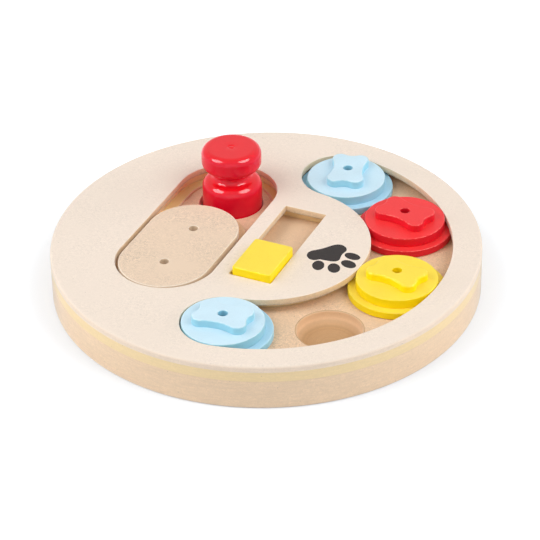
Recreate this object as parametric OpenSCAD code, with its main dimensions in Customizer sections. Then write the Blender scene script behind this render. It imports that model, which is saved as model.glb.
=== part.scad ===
// Round wooden puzzle feeder: three glued boards with sunk treat cups, four
// discs that travel round a C-shaped track, a sliding block, a sliding lid and
// a lift-out peg. +Z up, origin at the middle of the underside, +Y along the
// slots of the lid and the block, +X towards the middle of the track.

/* [Boards] */
// Diameter of the round board
board_d = 250; // [246:1:300]
// Thickness of the solid lower board that holds the cups
base_t = 18; // [16:0.5:24]
// Thickness of the middle board that gives the runners their headroom
spacer_t = 6; // [5.4:0.2:8]
// Thickness of the top sheet
top_t = 4; // [3.6:0.2:5]
// Radius on the upper and the lower rim
rim_r = 1.5; // [0.5:0.25:2]

/* [Fits] */
// Height of the runners above the board that they slide on
run_gap = 0.3; // [0.2:0.05:0.5]
// Gap between a runner and the lips of the top sheet
lip_gap = 0.3; // [0.2:0.05:0.6]
// Gap beside the discs that fill the track's opening
track_play = 0.3; // [0.3:0.05:0.6]
// Gap beside a runner, under the top sheet
runner_play = 0.5; // [0.4:0.05:0.8]
// Gap beside a disc's flange, under the top sheet
flange_play = 2.7; // [0.5:0.1:3.5]
// Gap between two discs that meet in the track
disc_gap = 0.3; // [0.3:0.05:1]

/* [Disc track] */
// Width of the top sheet's rim outside the track
track_rim = 16.9; // [13:0.1:18]
// Width of the track's opening in the top sheet
track_w = 47.4; // [44:0.2:48]
// How far the top sheet reaches over the track's wider lower part
track_lip = 7; // [5:0.1:8]
// Top sheet between the far end of the track and the lid's pocket
track_pocket_web = 16.5; // [15:0.1:20]

/* [Treat cups] */
// Diameter of a track cup's mouth
cup_d = 37.6; // [30:0.2:39]
// Depth of a cup
cup_depth = 8.5; // [7:0.5:12]
// Radius of the cove between a cup's wall and its floor
cup_cove = 6.5; // [2:0.5:6.5]
// Distance from the end of the track's centre line to the end cup's middle
cup_end_in = 1.2; // [0:0.1:3]
// Diameter of the cup under the lid
lid_cup_d = 37.6; // [30:0.2:44]
// Diameter of the cup under the sliding block
block_cup_d = 22; // [16:0.5:24]
// Radius of the cove in the cup under the sliding block
block_cup_cove = 4; // [2:0.5:4]

/* [Track discs] */
// Thickness of the wide lower disc that runs under the lips
flange_t = 4.5; // [3.5:0.1:4.7]
// Height of the upper disc's face above the top sheet
tier_proud = 0.4; // [0:0.1:2]
// Rounding on the discs' edges
disc_edge_r = 0.5; // [0.2:0.1:1]
// Diameter of the scent hole through a disc
disc_hole_d = 5.6; // [4:0.2:7]
// Free travel between the far end of the track and the far blue disc
back_free = 3.8; // [0:0.1:8]
// Free travel between the far blue disc and the red disc
red_free = 1.1; // [0:0.1:8]
// Free travel between the red disc and the yellow disc
yellow_free = 7.6; // [0:0.1:15]
// Free travel between the near blue disc and the near end of the track
front_free = 0.7; // [0:0.1:8]

/* [Bone knobs] */
// Length of a bone
bone_l = 32; // [28:0.5:36]
// Width of a bone over its lobes
bone_w = 22; // [20:0.5:26]
// Thickness of a bone
bone_t = 4.9; // [4:0.1:8]
// Radius of each lobe
lobe_r = 5; // [4:0.1:6]
// Depth of the hollow in a bone's long side
waist_dip = 2.1; // [1:0.1:3.5]
// Depth of the hollow in a bone's end
end_dip = 1.5; // [0.5:0.1:2.5]
// Direction of the far blue disc's bone
back_bone_angle = -75.5; // [-90:0.5:90]
// How far the far blue disc's bone and hole sit off its middle, along +Y
back_bone_off = 2.6; // [0:0.1:4]
// Direction of the red disc's bone
red_bone_angle = -12; // [-90:1:90]
// Direction of the yellow disc's bone
yellow_bone_angle = -11; // [-90:1:90]
// Direction of the near blue disc's bone
front_bone_angle = 3; // [-90:1:90]

/* [Lid pocket] */
// Top sheet between the pocket and the block's slot
pocket_slot_web = 9.5; // [9:0.1:12]
// Place of the pocket's middle along the board
pocket_y = 1; // [-1:0.1:2]
// Width of the pocket in the top sheet
pocket_w = 59.8; // [57:0.2:60.4]
// Length of the pocket in the top sheet
pocket_l = 140.6; // [137:0.2:146]
// How far the top sheet reaches over the pocket's wider lower part
pocket_lip = 3; // [2:0.1:3.2]
// Width of the shallow treat tray in the lower board
tray_w = 51.8; // [46:0.2:54]
// Distance from each end of the pocket to the end of the tray
tray_end_in = 2.1; // [1:0.1:3]
// Depth of the shallow treat tray
tray_depth = 1.5; // [1:0.25:2.5]

/* [Lid] */
// Width of the lid's face plate
lid_w = 54; // [50:0.2:57]
// Gap between the lid's face plate and the peg
lid_peg_gap = 7.7; // [4:0.1:20]
// Height of the lid's face above the top sheet
lid_proud = 0.3; // [0:0.1:2]
// Gap between the lid and the near end of the pocket
lid_end_gap = 0.5; // [0.3:0.1:1]
// Diameter of the lid's scent holes
lid_hole_d = 5.6; // [4:0.2:9]
// Distance between the lid's scent holes
lid_hole_pitch = 38.2; // [30:0.2:46]

/* [Peg] */
// Diameter of the peg
peg_d = 35.8; // [32:0.2:38]
// Height of the peg
peg_h = 49.5; // [46:0.5:60]
// Height of the peg's head
head_h = 13.7; // [12:0.1:16]
// Height of the neck between head and body
neck_h = 7; // [5:0.5:10]
// Diameter of the peg's neck
neck_d = 22; // [16:0.5:24]
// Radius where the body turns in to the neck
shoulder_r = 6; // [3:0.25:6]
// Radius on the top of the head and where the head turns in to the neck
head_r = 4.5; // [2:0.25:6]
// Radius on the peg's foot
foot_r = 1.5; // [0.5:0.25:3]
// Gap all round the peg when it stands in the middle of its hole
peg_play = 1.35; // [0.6:0.05:2.5]
// Gap on the side that the loose peg stands towards
peg_side_gap = 0.45; // [0.3:0.05:0.55]
// Distance from the peg hole's middle to the far end of the pocket
peg_hole_back = 24.5; // [24:0.1:28]
// Depth of the peg's hole below the tray
peg_hole_depth = 10.5; // [8:0.5:12]

/* [Slider] */
// Top sheet between the slot and the track, where the two are closest
slot_track_web = 39.9; // [36:0.1:44]
// Width of the slot in the top sheet
slot_w = 26; // [25.6:0.2:26.4]
// Top sheet between the slot's corners and the track
slot_corner_web = 16; // [14:0.5:20]
// How far the top sheet reaches over the slot's wider lower part
slot_lip = 4.2; // [3:0.1:4.4]
// Width of the sliding block
block_w = 24; // [20:0.2:24.4]
// Length of the sliding block
block_l = 32.6; // [28:0.2:36]
// Height of the block above the top sheet
block_proud = 5; // [3:0.5:10]
// Gap between the block and the near end of its slot
block_end_gap = 0.4; // [0.3:0.05:0.8]
// Gap between the block and the side of its slot that it stands towards
block_side_gap = 0.4; // [0.3:0.05:0.6]
// Rounding on the block's edges
block_edge_r = 0.8; // [0.4:0.1:1.5]

/* [Hidden] */
$fn = 96;
// How far a cutting solid runs past the face that it opens
cut = 1;
// How far the circles of a bone's hollows run into its lobes
blend_cut = 0.02;
// Track cups on each side of the middle one
cups_each_side = 2;

// Heights of the boards' upper faces
spacer_top = base_t + spacer_t;
board_top = spacer_top + top_t;

// The track, the slot and the pocket follow one another in from the rim
track_r = board_d / 2 - track_rim - track_w / 2;
slot_x = track_r - track_w / 2 - slot_track_web - slot_w / 2;
pocket_x = slot_x - slot_w / 2 - pocket_slot_web - pocket_w / 2;
slot_corner_r = track_r - track_w / 2 - slot_corner_web;
slot_l = 2 * sqrt(slot_corner_r ^ 2 - (slot_x + slot_w / 2) ^ 2);
pocket_far = pocket_y + pocket_l / 2;
pocket_near = pocket_y - pocket_l / 2;

// Half of the angle of the track's centre line, up to the web beside the pocket
pocket_end = [pocket_x, pocket_far - pocket_w / 2];
end_reach = (track_w + pocket_w) / 2 + track_pocket_web;
end_cos = (track_r ^ 2 + norm(pocket_end) ^ 2 - end_reach ^ 2) / (2 * track_r * norm(pocket_end));
track_end = atan2(pocket_end.y, pocket_end.x) - acos(end_cos);
cup_pitch = (track_end - track_turn(cup_end_in)) / cups_each_side;

// Runners lie between the lower board and the lips of the top sheet
runner_z = base_t + run_gap;
runner_t = spacer_t - run_gap - lip_gap;
runner_top = runner_z + runner_t;

// Discs: a wide flange under the lips, a tier in the opening, a bone on top
flange_d = track_w + 2 * track_lip - 2 * flange_play;
tier_d = track_w - 2 * track_play;
tier_z = runner_z + flange_t;
tier_t = board_top + tier_proud - tier_z;
bone_z = tier_z + tier_t;

// Places of the discs in the track; two that meet stand this angle apart
meet_angle = 2 * asin((flange_d + disc_gap) / (2 * track_r));
back_at = track_end - track_turn(back_free);
red_at = back_at - meet_angle - track_turn(red_free);
yellow_at = red_at - meet_angle - track_turn(yellow_free);
front_at = track_turn(front_free) - track_end;

// Tray in the pocket and what is sunk in it
tray_l = pocket_l - 2 * tray_end_in;
tray_floor = base_t - tray_depth;
peg_hole_d = peg_d + 2 * peg_play;
peg_hole_y = pocket_far - peg_hole_back;
peg_floor = tray_floor - peg_hole_depth;
peg_x = pocket_x + peg_play - peg_side_gap;
lid_cup_y = pocket_near + peg_hole_back;

// Lid: a face plate glued on a wider and longer runner
lid_l = peg_hole_y - peg_d / 2 - lid_peg_gap - pocket_near - lid_end_gap;
lid_y = pocket_near + lid_end_gap + lid_l / 2;
lid_t = board_top + lid_proud - runner_top;
lid_runner_w = pocket_w + 2 * pocket_lip - 2 * runner_play;
lid_runner_l = lid_l + 2 * (pocket_lip + lid_end_gap - runner_play);

// Slider: a block glued on a wider and longer runner
block_x = slot_x + (slot_w - block_w) / 2 - block_side_gap;
block_y = block_end_gap + (block_l - slot_l) / 2;
block_h = board_top + block_proud - runner_top;
block_runner_w = slot_w + 2 * slot_lip - 2 * runner_play;
block_runner_l = block_l + 2 * (slot_lip + block_end_gap - runner_play);

// Peg: a groove that is tangent to the shoulder's and the head's rounding
peg_r = peg_d / 2;
body_h = peg_h - head_h - neck_h;
shoulder = [peg_r - shoulder_r, body_h - shoulder_r];
chin = [peg_r - head_r, body_h + neck_h + head_r];
shoulder_term = (neck_d / 2 - shoulder.x) ^ 2 - shoulder_r ^ 2;
chin_term = (neck_d / 2 - chin.x) ^ 2 - head_r ^ 2;
groove_z = (chin_term - shoulder_term + chin.y ^ 2 - shoulder.y ^ 2) / (2 * (chin.y - shoulder.y));
groove_r = (shoulder_term + (groove_z - shoulder.y) ^ 2) / (peg_d - neck_d);
groove = [neck_d / 2 + groove_r, groove_z];

// Angle by which a disc turns about the board when it travels a length of track
function track_turn(travel) = travel / track_r * 180 / PI;

// ---- shapes ----

// Slot shape with round ends, lying along Y
module obround(w, l) {
    square([w, l - w], center = true);
    for (s = [-1, 1])
        translate([0, s * (l - w) / 2]) circle(d = w);
}

// Right half of a plate's section, with a rounded upper and lower corner
module half_section(r, h, top_r, foot_r) {
    square([r - foot_r, h / 2]);
    translate([0, h / 2]) square([r - top_r, h / 2]);
    translate([0, foot_r]) square([r, h - top_r - foot_r]);
    if (top_r > 0) translate([r - top_r, h - top_r]) circle(top_r);
    if (foot_r > 0) translate([r - foot_r, foot_r]) circle(foot_r);
}

module puck(d, t, top_r = 0, foot_r = 0) {
    rotate_extrude() half_section(d / 2, t, top_r, foot_r);
}

// Bowl-shaped cutter whose mouth lies at z = 0
module coved_cup(d, cove = cup_cove) {
    rotate_extrude() {
        translate([0, -cup_depth]) square([d / 2 - cove, cup_depth + cut]);
        translate([0, cove - cup_depth]) square([d / 2, cup_depth - cove + cut]);
        translate([d / 2 - cove, cove - cup_depth]) circle(cove);
    }
}

module on_track(angle) {
    rotate([0, 0, angle]) translate([track_r, 0, 0]) children();
}

// C-shaped track with round ends, as a cutter of the given width and height
module track(w, h) {
    rotate([0, 0, -track_end])
        rotate_extrude(angle = 2 * track_end)
            translate([track_r - w / 2, 0]) square([w, h]);
    for (s = [-1, 1])
        on_track(s * track_end) cylinder(d = w, h = h);
}

// The three openings of a board, each wider by its own lip
module openings(lip_share, h) {
    track(track_w + 2 * track_lip * lip_share, h);
    translate([pocket_x, pocket_y, 0])
        linear_extrude(h)
            obround(pocket_w + 2 * pocket_lip * lip_share, pocket_l + 2 * pocket_lip * lip_share);
    translate([slot_x, 0, h / 2])
        cube([slot_w + 2 * slot_lip * lip_share, slot_l + 2 * slot_lip * lip_share, h], center = true);
}

// Radius of an arc that sinks dip deep between two lobes, tangent to both
function hollow_r(half_span, dip) = (half_span ^ 2 - 2 * lobe_r * dip + dip ^ 2) / (2 * dip);

// Bone: four lobes joined by arcs that run smoothly into them
module bone_outline() {
    lobe = [bone_l / 2 - lobe_r, bone_w / 2 - lobe_r];
    waist_r = hollow_r(lobe.x, waist_dip);
    end_r = hollow_r(lobe.y, end_dip);
    waist = [0, bone_w / 2 - waist_dip + waist_r];
    end = [bone_l / 2 - end_dip + end_r, 0];
    waist_touch = lobe + lobe_r * (waist - lobe) / norm(waist - lobe);
    end_touch = lobe + lobe_r * (end - lobe) / norm(end - lobe);
    corner = [end_touch, lobe, waist_touch];
    flip = [[1, 1], [-1, 1], [-1, -1], [1, -1]];
    difference() {
        union() {
            for (f = flip)
                translate([f.x * lobe.x, f.y * lobe.y]) circle(lobe_r);
            polygon([
                for (i = [0 : 3], j = [0 : 2])
                    let (p = corner[i % 2 == 0 ? j : 2 - j])
                        [flip[i].x * p.x, flip[i].y * p.y]
            ]);
        }
        for (s = [-1, 1]) {
            translate(s * waist) circle(waist_r + blend_cut);
            translate(s * end) circle(end_r + blend_cut);
        }
    }
}

// Block with rounded upright and upper edges
module eased_block(w, l, h, r) {
    intersection() {
        linear_extrude(h)
            union() {
                square([w, l - 2 * r], center = true);
                square([w - 2 * r, l], center = true);
                for (x = [-1, 1], y = [-1, 1])
                    translate([x * (w / 2 - r), y * (l / 2 - r)]) circle(r);
            }
        rotate([90, 0, 0])
            linear_extrude(l, center = true) eased_face(w, h, r);
        rotate([90, 0, 90])
            linear_extrude(w, center = true) eased_face(l, h, r);
    }
}

module eased_face(w, h, r) {
    translate([-w / 2, 0]) square([w, h - r]);
    translate([r - w / 2, 0]) square([w - 2 * r, h]);
    for (s = [-1, 1])
        translate([s * (w / 2 - r), h - r]) circle(r);
}

// ---- boards ----

module base_board() {
    color([0.87, 0.75, 0.61]) difference() {
        puck(board_d, base_t, foot_r = rim_r);
        for (i = [-cups_each_side : cups_each_side])
            translate([0, 0, base_t]) on_track(i * cup_pitch) coved_cup(cup_d);
        translate([pocket_x, pocket_y, tray_floor])
            linear_extrude(tray_depth + cut) obround(tray_w, tray_l);
        translate([pocket_x, peg_hole_y, peg_floor])
            cylinder(d = peg_hole_d, h = peg_hole_depth + cut);
        translate([pocket_x, lid_cup_y, tray_floor]) coved_cup(lid_cup_d);
        translate([slot_x, block_y, base_t]) coved_cup(block_cup_d, block_cup_cove);
    }
}

module spacer_board() {
    color([0.90, 0.79, 0.56]) translate([0, 0, base_t]) difference() {
        cylinder(d = board_d, h = spacer_t);
        translate([0, 0, -cut]) openings(1, spacer_t + 2 * cut);
    }
}

module top_board() {
    color([0.94, 0.88, 0.81]) translate([0, 0, spacer_top]) difference() {
        puck(board_d, top_t, top_r = rim_r);
        translate([0, 0, -cut]) openings(0, top_t + 2 * cut);
    }
}

// ---- lid ----

module lid_part(w, l, t) {
    linear_extrude(t) difference() {
        obround(w, l);
        for (s = [-1, 1])
            translate([0, s * lid_hole_pitch / 2]) circle(d = lid_hole_d);
    }
}

module lid_runner() {
    color([0.84, 0.71, 0.57])
        translate([pocket_x, lid_y, runner_z]) lid_part(lid_runner_w, lid_runner_l, runner_t);
}

module lid_cover() {
    color([0.90, 0.80, 0.70])
        translate([pocket_x, lid_y, runner_top]) lid_part(lid_w, lid_l, lid_t);
}

// ---- slider ----

module slider_runner() {
    color([0.84, 0.71, 0.57])
        translate([slot_x, block_y, runner_z + runner_t / 2])
            cube([block_runner_w, block_runner_l, runner_t], center = true);
}

module slider_block() {
    color([0.99, 0.87, 0.25])
        translate([block_x, block_y, runner_top])
            eased_block(block_w, block_l, block_h, block_edge_r);
}

// ---- peg ----

module peg_section() {
    half_section(peg_r, body_h, shoulder_r, foot_r);
    translate([0, body_h + neck_h]) half_section(peg_r, head_h, head_r, head_r);
    shoulder_touch = shoulder + shoulder_r * (groove - shoulder) / norm(groove - shoulder);
    chin_touch = chin + head_r * (groove - chin) / norm(groove - chin);
    difference() {
        polygon([
            [0, shoulder.y], shoulder, shoulder_touch,
            chin_touch, chin, [0, chin.y]
        ]);
        translate(groove) circle(groove_r);
    }
}

module peg() {
    color([0.85, 0.10, 0.14])
        translate([peg_x, peg_hole_y, peg_floor]) rotate_extrude() peg_section();
}

// ---- track discs ----

module scent_hole(t) {
    translate([0, 0, -cut]) cylinder(d = disc_hole_d, h = t + 2 * cut);
}

// Moves a disc's bone or hole off the disc's middle, along +Y
module off_middle(angle, off) {
    rotate([0, 0, -angle]) translate([0, off, 0]) children();
}

module flange(angle, off = 0) {
    on_track(angle) translate([0, 0, runner_z]) difference() {
        puck(flange_d, flange_t, disc_edge_r, disc_edge_r);
        off_middle(angle, off) scent_hole(flange_t);
    }
}

module tier(angle, off = 0) {
    on_track(angle) translate([0, 0, tier_z]) difference() {
        puck(tier_d, tier_t, top_r = disc_edge_r);
        off_middle(angle, off) scent_hole(tier_t);
    }
}

module bone(angle, turn, off = 0) {
    on_track(angle) translate([0, 0, bone_z]) off_middle(angle, off) rotate([0, 0, turn]) difference() {
        linear_extrude(bone_t) bone_outline();
        scent_hole(bone_t);
    }
}

module blue() { color([0.66, 0.86, 0.94]) children(); }
module red() { color([0.90, 0.16, 0.19]) children(); }
module yellow() { color([0.98, 0.84, 0.20]) children(); }

module back_disc_flange() { blue() flange(back_at, back_bone_off); }
module back_disc_tier() { blue() tier(back_at, back_bone_off); }
module back_disc_bone() { blue() bone(back_at, back_bone_angle, back_bone_off); }

module red_disc_flange() { red() flange(red_at); }
module red_disc_tier() { red() tier(red_at); }
module red_disc_bone() { red() bone(red_at, red_bone_angle); }

module yellow_disc_flange() { yellow() flange(yellow_at); }
module yellow_disc_tier() { yellow() tier(yellow_at); }
module yellow_disc_bone() { yellow() bone(yellow_at, yellow_bone_angle); }

module front_disc_flange() { blue() flange(front_at); }
module front_disc_tier() { blue() tier(front_at); }
module front_disc_bone() { blue() bone(front_at, front_bone_angle); }

base_board();
spacer_board();
top_board();
lid_runner();
lid_cover();
slider_runner();
slider_block();
peg();
back_disc_flange();
back_disc_tier();
back_disc_bone();
red_disc_flange();
red_disc_tier();
red_disc_bone();
yellow_disc_flange();
yellow_disc_tier();
yellow_disc_bone();
front_disc_flange();
front_disc_tier();
front_disc_bone();
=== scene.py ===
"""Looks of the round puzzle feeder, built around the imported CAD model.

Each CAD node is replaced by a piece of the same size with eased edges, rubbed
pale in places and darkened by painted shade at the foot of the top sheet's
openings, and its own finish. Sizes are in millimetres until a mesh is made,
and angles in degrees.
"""

import math

import bmesh
import bpy
from mathutils import Matrix, Vector, noise


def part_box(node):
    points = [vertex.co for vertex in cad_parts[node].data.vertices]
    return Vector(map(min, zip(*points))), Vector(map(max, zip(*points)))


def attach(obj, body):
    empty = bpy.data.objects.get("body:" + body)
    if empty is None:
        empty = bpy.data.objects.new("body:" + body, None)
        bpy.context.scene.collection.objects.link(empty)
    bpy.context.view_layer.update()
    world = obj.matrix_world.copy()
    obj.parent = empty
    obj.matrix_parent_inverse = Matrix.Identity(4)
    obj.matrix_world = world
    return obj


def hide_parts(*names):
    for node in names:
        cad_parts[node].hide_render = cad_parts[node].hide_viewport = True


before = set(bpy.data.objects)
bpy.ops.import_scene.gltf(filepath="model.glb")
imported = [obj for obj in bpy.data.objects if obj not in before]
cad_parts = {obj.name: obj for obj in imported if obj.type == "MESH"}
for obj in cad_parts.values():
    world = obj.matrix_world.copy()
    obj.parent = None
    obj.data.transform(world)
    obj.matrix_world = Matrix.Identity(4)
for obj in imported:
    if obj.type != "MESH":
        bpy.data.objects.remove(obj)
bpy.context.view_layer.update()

MM = 0.001

# ---- colours of the finishes, 0 to 255 ----

TOP_FACE = (240, 225, 210)
TOP_EDGE = (251, 230, 209)
TOP_CUT = (246, 219, 184)
SPACER_EDGE = (252, 225, 177)
LEDGE = (248, 222, 158)
BASE_FACE = (242, 208, 174)
BASE_EDGE = (250, 220, 187)
# Cut board in the cups: the cut board's own tone, darkened on the floors as painted shade and paled
# on the walls as painted light
CUP_FLOOR_CUT_SHADED = (204, 164, 121)
CUP_WALL_CUT_LIT = (248, 210, 170)
LID_FACE = (233, 209, 184)
LID_EDGE = (238, 213, 184)
RUNNER = (222, 184, 146)
PALE_WEAR = (253, 246, 235)
# Paints: level faces, then walls. The level faces are paler with a painted reflection of the white
# room, which the walls show less of
RED = ((238, 58, 60), (222, 26, 44))
YELLOW = ((248, 220, 72), (254, 225, 6))
BLUE = ((205, 232, 245), (158, 214, 233))
# The blue flanges, in shade under the lips, get a more saturated copy: painted shade, with less
# painted reflection on their level faces
BLUE_SHADED_FLANGE = ((180, 222, 242), (156, 214, 238))
PEG_RED = ((232, 16, 30), (226, 6, 44))
# Paints where an edge is rubbed thin
RUBBED_RED = (250, 140, 130)
RUBBED_YELLOW = (255, 240, 150)
RUBBED_BLUE = (232, 244, 248)
# The blue flanges' rubbed paint, darkened as painted shade
RUBBED_BLUE_SHADED_FLANGE = (220, 240, 248)
INK = (44, 40, 39)

# ---- noise textures: scale per metre, detail, roughness, distortion ----

GRAIN = (640, 4, 0.85, 1.2)
FIBRES = (850, 2, 0.65, 1.6)
CLOUDS = (38, 3, 0.55)
FLECK_AREAS = (210, 1, 0.5)
FLECKS_PER_M = 330.0
EDGE_LINES_STRETCH = (110, 110, 800)
PAINT_CLOUDS = (70, 3, 0.5)
PAINT_PORES = (900, 2, 0.6)
PAINT_RIPPLE = (180, 2, 0.5)
PAINT_RUB = (420, 3, 0.65)
INK_FINE = (1400, 3, 0.65)
INK_HAIRS_STRETCH = (260, 1500, 200)
# Rings that a cutter leaves in a cup, per millimetre of its radius
CUTTER_RINGS = 0.9

# Share of light that the fibres of bare board send back at a glancing angle
FIBRE_SHEEN = 1.0
FIBRE_SHEEN_BLUR = 0.3

# ---- rounded, worn and routed edges ----

BOARD_LIP_R = 0.5
RIM_R = 1.5
SEAM_R = 0.12
OPENING_FOOT_R = 0.15
OPENING_TOP_R = 0.35
TRAY_LIP_R = 0.4
PEG_HOLE_LIP_R = 0.5
LID_R = 0.6
RUNNER_R = 0.3
DISC_R = 0.5
BONE_R = {"back": 0.8, "red": 0.7, "yellow": 1.5, "front": 0.9}
# Foot of the bones: the red one's glue line has opened
BONE_FOOT_R = {"back": 0.25, "red": 0.55, "yellow": 0.2, "front": 0.25}
HOLE_FOOT_R = 0.2
HOLE_R = 0.4
BLOCK_CORNER_R = 1.6
BLOCK_RUNNER_CORNER_R = 0.5
BLOCK_EDGE_R = 0.8
# Flat bands beside rounded edges, so that the faces keep their own shading
HOLD = 0.25
CUP_FLOOR_HOLD = 0.4
LEDGE_HOLD = 0.4
# Smallest ring on a cup's floor
CUP_MIDDLE_R = 0.3
# Share of a wall's straight part between its two middle rings
WALL_MIDDLE = 0.7
# Loose fibres at the foot of the top sheet's openings: how far they stray, and up to where
FIBRE = 0.35
FIBRE_REACH = 1.2
# How far the ink's edge strays, and how finely both do, per metre
INK_STRAY = 0.12
STRAY_PER_M = 900
# Share of the painted shade at a routed wall's foot that is left higher up on it
FOOT_SHADE_UP = 0.4

# ---- steps round the outlines ----

RIM_STEPS = 360
DISC_STEPS = 180
CUP_STEPS = 144
BLOCK_CUP_STEPS = 96
PEG_STEPS = 128
DISC_HOLE_STEPS = 48
LID_HOLE_STEPS = 40

# ---- camera, fitted to the rim in the photograph: in metres, but lens and sensor in mm ----

CAMERA_AZIMUTH = 25.1
CAMERA_ELEVATION = 33.5547
CAMERA_ROLL = -1.0804
CAMERA_DISTANCE = 1.459938
CAMERA_RIGHT = 0.0019475
CAMERA_UP = 0.006355
CAMERA_LENS = 166.24
CAMERA_SENSOR = 36
CAMERA_CLIP = (0.1, 20)

# ---- light and floor: in metres, directions as right, away and up in the picture ----

SOFT_BOXES = {"left": (-0.64, -0.2, 0.71), "right": (0.59, -0.28, 0.74)}
BOX_DISTANCE = 2.4
BOX_SIZE = (1.5, 1.5)
BOX_LIGHT = 3.2
SIDE_FILLS = {"left": (-1, 0.12, 0.22), "right": (1, 0.12, 0.22)}
SIDE_DISTANCE = 2.2
SIDE_SIZE = (1.6, 0.8)
SIDE_LIGHT = 3.6
FRONT_FILL = (0, -0.9, 0.35)
FRONT_DISTANCE = 2.4
FRONT_SIZE = (2.2, 1.4)
FRONT_LIGHT = 0.5
# Height of the point that the lamps face
LIT_HEIGHT = 0.03
WORLD_LIGHT = 0.40
# The soft boxes as glossy surfaces mirror them: strength, half angle and blur in degrees
BOX_GLINT = 12.0
BOX_REACH = 17.5
BOX_BLUR = 2.5
FLOOR_HALF = 6
FLOOR_COLOUR = (0.657, 0.69, 0.733, 1)
# The floor's own glow, which grows between two distances from the middle
FLOOR_GLOW = 0.29
FLOOR_GLOW_FAR = 0.8
FLOOR_GLOW_RISE = (0.126, 0.2)

# ---- sizes of the construction: driven by the frame and the CAD's own values ----


class Extent:
    """A CAD node's middle, width, length and heights, in mm."""

    def __init__(self, node):
        low, high = (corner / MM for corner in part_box(node))
        self.x, self.y = ((low + high) / 2).xy
        self.w, self.l = (high - low).xy
        self.shape = (self.x, self.y, self.w, self.l)
        self.z = (low.z, high.z)


def wider(shape, lip):
    """A shape (x, y, width, length) grown by a lip on every side."""
    x, y, w, l = shape
    return x, y, w + 2 * lip, l + 2 * lip


BOARD_D = Extent("base_board").w
BASE_TOP = Extent("base_board").z[1]
SPACER_TOP = Extent("spacer_board").z[1]
BOARD_TOP = Extent("top_board").z[1]

TRACK_RIM = 16.9
TRACK_W = 47.4
TRACK_LIP = 7.0
TRACK_R = BOARD_D / 2 - TRACK_RIM - TRACK_W / 2

SLOT_TRACK_WEB = 39.9
SLOT_CORNER_WEB = 16.0
SLOT_W = 26.0
SLOT_LIP = 4.2
SLOT_CORNER_R = 0.4
SLOT_X = TRACK_R - TRACK_W / 2 - SLOT_TRACK_WEB - SLOT_W / 2
SLOT_REACH = TRACK_R - TRACK_W / 2 - SLOT_CORNER_WEB
SLOT_L = 2 * math.sqrt(SLOT_REACH**2 - (SLOT_X + SLOT_W / 2) ** 2)
SLOT = (SLOT_X, 0.0, SLOT_W, SLOT_L)

POCKET_SLOT_WEB = 9.5
POCKET_W = 59.8
POCKET_L = 140.6
POCKET_Y = 1.0
POCKET_LIP = 3.0
POCKET_X = SLOT_X - SLOT_W / 2 - POCKET_SLOT_WEB - POCKET_W / 2
POCKET = (POCKET_X, POCKET_Y, POCKET_W, POCKET_L)

TRAY_W = 51.8
TRAY_END_IN = 2.1
TRAY_DEPTH = 1.5
TRAY = (POCKET_X, POCKET_Y, TRAY_W, POCKET_L - 2 * TRAY_END_IN)
TRAY_FLOOR = BASE_TOP - TRAY_DEPTH

PEG_HOLE_BACK = 24.5
PEG_PLAY = 1.35
PEG_HOLE_D = Extent("peg").w + 2 * PEG_PLAY
PEG_HOLE_DEPTH = 10.5
PEG_HOLE_Y = POCKET_Y + POCKET_L / 2 - PEG_HOLE_BACK
LID_CUP_Y = POCKET_Y - POCKET_L / 2 + PEG_HOLE_BACK

# The track's ends keep a web from the pocket's far end
TRACK_POCKET_WEB = 16.5
POCKET_END = Vector((POCKET_X, POCKET_Y + POCKET_L / 2 - POCKET_W / 2))
END_REACH = (TRACK_W + POCKET_W) / 2 + TRACK_POCKET_WEB
END_COS = (TRACK_R**2 + POCKET_END.length**2 - END_REACH**2) / (2 * TRACK_R * POCKET_END.length)
TRACK_END = math.degrees(math.atan2(POCKET_END.y, POCKET_END.x) - math.acos(END_COS))

CUP_D = 37.6
CUP_DEPTH = 8.5
CUP_COVE = 6.5
CUP_END_IN = 1.2
CUPS_EACH_SIDE = 2
CUP_PITCH = (TRACK_END - math.degrees(CUP_END_IN / TRACK_R)) / CUPS_EACH_SIDE
BLOCK_CUP_D = 22
BLOCK_CUP_COVE = 4

SCENT_HOLE_D = 5.6
LID_HOLE_PITCH = 38.2

PEG_HEAD_H = 13.7
PEG_NECK_H = 7.0
PEG_NECK_D = 22.0
PEG_SHOULDER_R = 6.0
PEG_HEAD_R = 4.5
PEG_FOOT_R = 1.5
# Mark of the lathe's centre in the peg's head: radius and depth
LATHE_MARK = [
    (6.0, 0.0),
    (2.6, 0.0),
    (2.2, 0.05),
    (1.9, 0.35),
    (1.5, 0.42),
    (1.1, 0.2),
    (0.6, 0.12),
    (0.0, 0.1),
]

BONE_ANGLES = {"back": -75.5, "red": -12, "yellow": -11, "front": 3}
# How far a disc's bone and hole sit off its middle, along +Y
BONE_OFF = {"back": 2.6, "red": 0, "yellow": 0, "front": 0}
DISC_SLOTS = {
    "back": "blue_paint",
    "red": "red_paint",
    "yellow": "yellow_paint",
    "front": "blue_paint",
}

INK_T = 0.03
INK_LIFT = 0.001
PAW_PAD = [
    (27.4, -2.0),
    (28.1, -5.2),
    (30.2, -7.3),
    (32.7, -8.0),
    (34.9, -7.1),
    (36.6, -5.8),
    (40.0, -5.5),
    (43.6, -5.0),
    (46.1, -3.7),
    (46.9, -1.4),
    (46.4, 1.5),
    (46.2, 4.6),
    (46.9, 8.0),
    (46.2, 10.5),
    (44.4, 12.3),
    (42.0, 13.1),
    (39.6, 12.5),
    (37.4, 10.7),
    (35.4, 8.0),
    (33.1, 5.0),
    (30.5, 2.5),
    (28.4, 0.5),
]
# The toes: middle, length, width and angle
PAW_TOES = [
    (52.4, 4.4, 9.9, 6.4, -10),
    (53.5, -3.9, 9.8, 6.9, -20),
    (47.4, -10.9, 9.7, 7.1, -62),
    (38.1, -11.8, 9.8, 7.0, -70),
]


# ---- outlines: each gives its points, counter-clockwise, for an offset ----


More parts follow.
